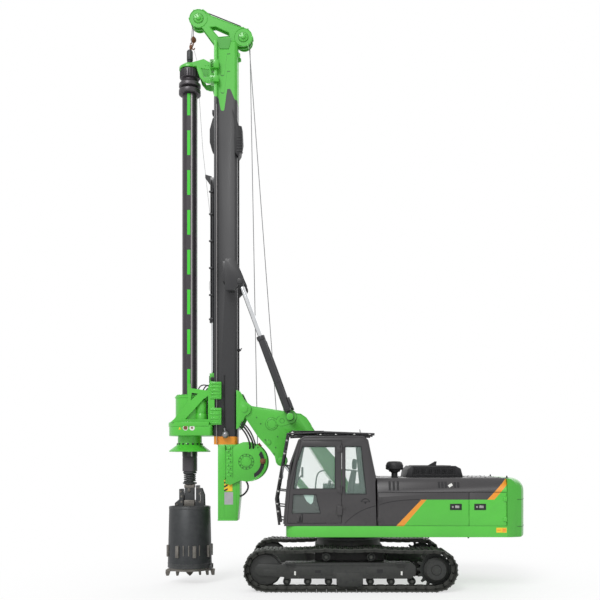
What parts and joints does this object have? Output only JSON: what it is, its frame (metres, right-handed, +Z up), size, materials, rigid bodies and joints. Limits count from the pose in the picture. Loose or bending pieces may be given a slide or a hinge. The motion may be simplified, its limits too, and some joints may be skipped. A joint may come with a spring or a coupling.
{
  "type": "rotary piling rig",
  "caption": "Crawler rotary piling rig with upright mast, kelly bar, rotary drive, drilling bucket, luffing boom, cab and slewing upper body.",
  "frame": {"origin": "ground point under the middle of the machine's overall box; the slewing axis is at x = -0.14 m", "axes": "+Z up, +X forward towards the drill axis, +Y to the machine's left, where the cab is"},
  "size_m": [7.865, 2.99, 12.7648],
  "materials": {
    "lime_paint": "semi-gloss lime green enamel",
    "graphite_paint": "satin dark grey enamel",
    "chassis_black": "satin black enamel",
    "track_steel": "dull dark steel",
    "tool_steel": "worn dark grey steel",
    "chrome_rod": "polished chrome",
    "cab_glass": "pale green tinted glass",
    "seat_cloth": "black woven cloth"
  },
  "bodies": {
    "undercarriage": {"car_body": "chassis_black", "track_frame_left": "chassis_black", "track_frame_right": "chassis_black", "sprocket_left": "chassis_black", "sprocket_right": "chassis_black", "track_left": "track_steel", "track_right": "track_steel"},
    "upper": {"platform": "lime_paint", "cab_shell": "graphite_paint", "left_pane": "cab_glass", "right_pane": "cab_glass", "windscreen": "cab_glass", "rear_pane": "cab_glass", "cab_guard": "chassis_black", "operator_seat": "seat_cloth", "machinery_house": "graphite_paint", "engine_block": "tool_steel", "counterweight": "lime_paint", "fuel_tank": "graphite_paint", "precleaner": "chassis_black"},
    "cab_door": {"cab_door": "graphite_paint", "door_pane": "cab_glass", "door_low_pane": "cab_glass"},
    "left_front_door": {"left_front_door": "lime_paint"},
    "left_rear_door": {"left_rear_door": "lime_paint"},
    "right_door": {"right_door": "lime_paint"},
    "hood": {"engine_hood": "chassis_black"},
    "boom": {"boom": "lime_paint"},
    "aux_winch": {"aux_winch_drum": "chassis_black"},
    "luff_barrels": {"luff_barrel_left": "lime_paint", "luff_barrel_right": "lime_paint"},
    "luff_rods": {"luff_rod_left": "chrome_rod", "luff_rod_right": "chrome_rod"},
    "mast": {"mast": "graphite_paint", "mast_head": "lime_paint", "mast_foot": "lime_paint", "pivot_bracket": "chassis_black", "crowd_barrel": "chassis_black"},
    "tilt_barrels": {"tilt_barrel_left": "chassis_black", "tilt_barrel_right": "chassis_black"},
    "tilt_rods": {"tilt_rod_left": "chrome_rod", "tilt_rod_right": "chrome_rod"},
    "main_winch": {"main_winch_drum": "chassis_black"},
    "front_sheaves": {"front_sheave_main": "tool_steel", "front_sheave_aux": "tool_steel"},
    "rear_sheaves": {"rear_sheave_main": "tool_steel", "rear_sheave_aux": "tool_steel"},
    "carriage": {"carriage_frame": "lime_paint", "rotary_gearbox": "lime_paint", "crowd_rod": "chrome_rod"},
    "drive_sleeve": {"drive_sleeve": "chassis_black"},
    "kelly_guide": {"kelly_guide": "lime_paint"},
    "kelly_outer": {"kelly_outer": "graphite_paint"},
    "kelly_core": {"kelly_core": "tool_steel", "drilling_bucket": "tool_steel"},
    "bucket_gate": {"bucket_gate": "tool_steel"}
  },
  "joints": [
    {"name": "slew", "type": "hinge", "parent": "undercarriage", "child": "upper", "pos_m": [-0.14, 0, 0.985], "axis": [0, 0, 1], "continuous": true},
    {"name": "cab_door_hinge", "type": "hinge", "parent": "upper", "child": "cab_door", "pos_m": [0.045, 1.378, 2.2], "axis": [0, 0, 1], "range_deg": [0, 160]},
    {"name": "left_front_door_hinge", "type": "hinge", "parent": "upper", "child": "left_front_door", "pos_m": [-0.716, 1.37, 1.7], "axis": [0, 0, 1], "range_deg": [-100, 0]},
    {"name": "left_rear_door_hinge", "type": "hinge", "parent": "upper", "child": "left_rear_door", "pos_m": [-3.366, 1.37, 1.7], "axis": [0, 0, 1], "range_deg": [0, 100]},
    {"name": "right_door_hinge", "type": "hinge", "parent": "upper", "child": "right_door", "pos_m": [-3.366, -1.37, 1.7], "axis": [0, 0, -1], "range_deg": [0, 100]},
    {"name": "hood_hinge", "type": "hinge", "parent": "upper", "child": "hood", "pos_m": [-2.6, 0, 2.382], "axis": [0, -1, 0], "range_deg": [0, 60]},
    {"name": "boom_luff", "type": "hinge", "parent": "upper", "child": "boom", "pos_m": [-0.19, 0, 1.8], "axis": [0, -1, 0], "range_deg": [-3, 12]},
    {"name": "luff_barrels_pivot", "type": "hinge", "parent": "upper", "child": "luff_barrels", "pos_m": [0.46, 0, 1.62], "axis": [0, -1, 0], "range_deg": [-4, 15]},
    {"name": "luff_rods_slide", "type": "slide", "parent": "luff_barrels", "child": "luff_rods", "axis": [0.6282, 0, 0.7781], "range_m": [-0.05, 0.15]},
    {"name": "aux_winch_spin", "type": "hinge", "parent": "boom", "child": "aux_winch", "pos_m": [1.547, 0, 3.518], "axis": [0, 1, 0], "continuous": true},
    {"name": "mast_tilt", "type": "hinge", "parent": "boom", "child": "mast", "pos_m": [2.145, 0, 3.849], "axis": [0, -1, 0], "range_deg": [-5, 15]},
    {"name": "tilt_barrels_pivot", "type": "hinge", "parent": "boom", "child": "tilt_barrels", "pos_m": [1.143, 0, 3.67], "axis": [0, -1, 0], "range_deg": [-5, 14]},
    {"name": "tilt_rods_slide", "type": "slide", "parent": "tilt_barrels", "child": "tilt_rods", "axis": [0.3468, 0, 0.9379], "range_m": [-0.26, 0.1]},
    {"name": "main_winch_spin", "type": "hinge", "parent": "mast", "child": "main_winch", "pos_m": [2.09, 0, 2.69], "axis": [0, 1, 0], "continuous": true},
    {"name": "front_sheaves_spin", "type": "hinge", "parent": "mast", "child": "front_sheaves", "pos_m": [3.192, 0, 12.55], "axis": [0, 1, 0], "continuous": true},
    {"name": "rear_sheaves_spin", "type": "hinge", "parent": "mast", "child": "rear_sheaves", "pos_m": [2.195, 0, 12.13], "axis": [0, 1, 0], "continuous": true},
    {"name": "crowd_slide", "type": "slide", "parent": "mast", "child": "carriage", "axis": [0, 0, 1], "range_m": [-0.6, 1.05]},
    {"name": "kelly_hoist", "type": "slide", "parent": "mast", "child": "kelly_guide", "axis": [0, 0, 1], "range_m": [-5, 0.05]},
    {"name": "kelly_spin", "type": "hinge", "parent": "kelly_guide", "child": "kelly_outer", "pos_m": [3.395, 0, 5], "axis": [0, 0, 1], "continuous": true},
    {"name": "sleeve_spin", "type": "hinge", "parent": "carriage", "child": "drive_sleeve", "pos_m": [3.395, 0, 3.4], "axis": [0, 0, 1], "continuous": true},
    {"name": "kelly_telescope", "type": "slide", "parent": "kelly_outer", "child": "kelly_core", "axis": [0, 0, 1], "range_m": [-6.5, 0]},
    {"name": "bucket_gate_hinge", "type": "hinge", "parent": "kelly_core", "child": "bucket_gate", "pos_m": [2.908, 0, 0.315], "axis": [0, 1, 0], "range_deg": [0, 80]}
  ],
  "couplings": [
    {"joint": "luff_barrels_pivot", "follows": "boom_luff", "ratio": 1.1317},
    {"joint": "luff_rods_slide", "follows": "boom_luff", "m_per_rad": 0.6451},
    {"joint": "tilt_barrels_pivot", "follows": "mast_tilt", "ratio": 0.8633},
    {"joint": "tilt_rods_slide", "follows": "mast_tilt", "m_per_rad": -0.9278},
    {"joint": "sleeve_spin", "follows": "kelly_spin", "ratio": 1}
  ]
}
